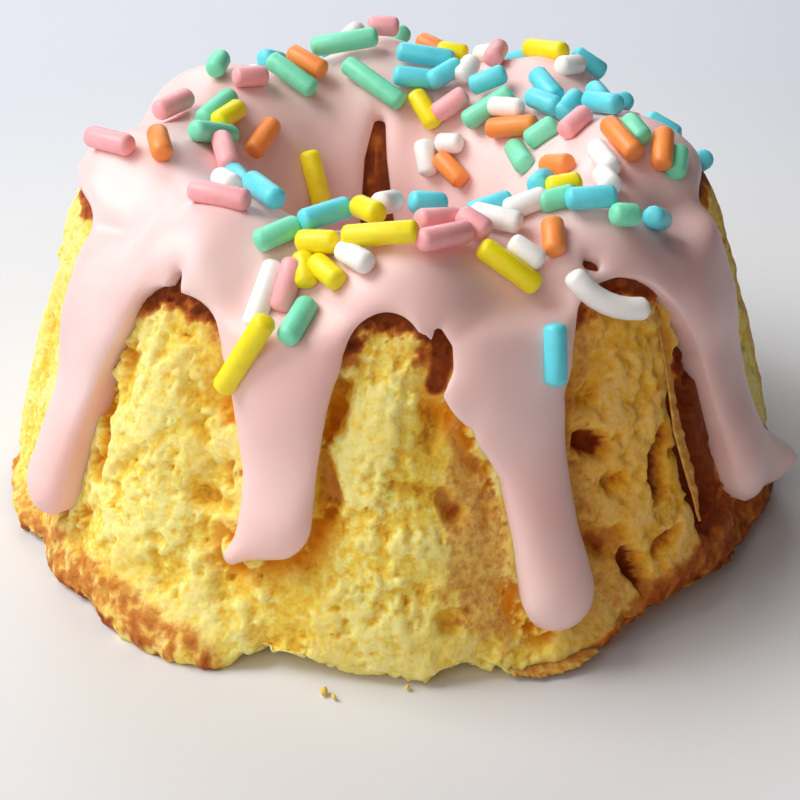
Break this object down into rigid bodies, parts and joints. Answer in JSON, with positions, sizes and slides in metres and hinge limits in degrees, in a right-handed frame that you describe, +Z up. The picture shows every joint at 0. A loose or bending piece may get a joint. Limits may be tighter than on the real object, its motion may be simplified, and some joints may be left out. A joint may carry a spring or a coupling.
{
  "type": "fluted ring cake",
  "caption": "Small fluted ring cake of yellow sponge with a hole through the middle, poured pale pink icing running down in drips, and rod-shaped sugar sprinkles on top.",
  "frame": {"origin": "middle of the flat base that the cake stands on", "axes": "+Z up along the hole's axis, -Y towards the viewer (front), +X to the viewer's right"},
  "size_m": [0.0695, 0.0695, 0.0346],
  "materials": {
    "sponge": "open yellow crumb with a browned crust",
    "icing": "satin pale pink poured icing",
    "sprinkles": "satin pressed sugar rods in pink, mint, turquoise, yellow, white and orange"
  },
  "bodies": {
    "root": {"cake": "sponge", "icing": "icing"}
  },
  "joints": []
}
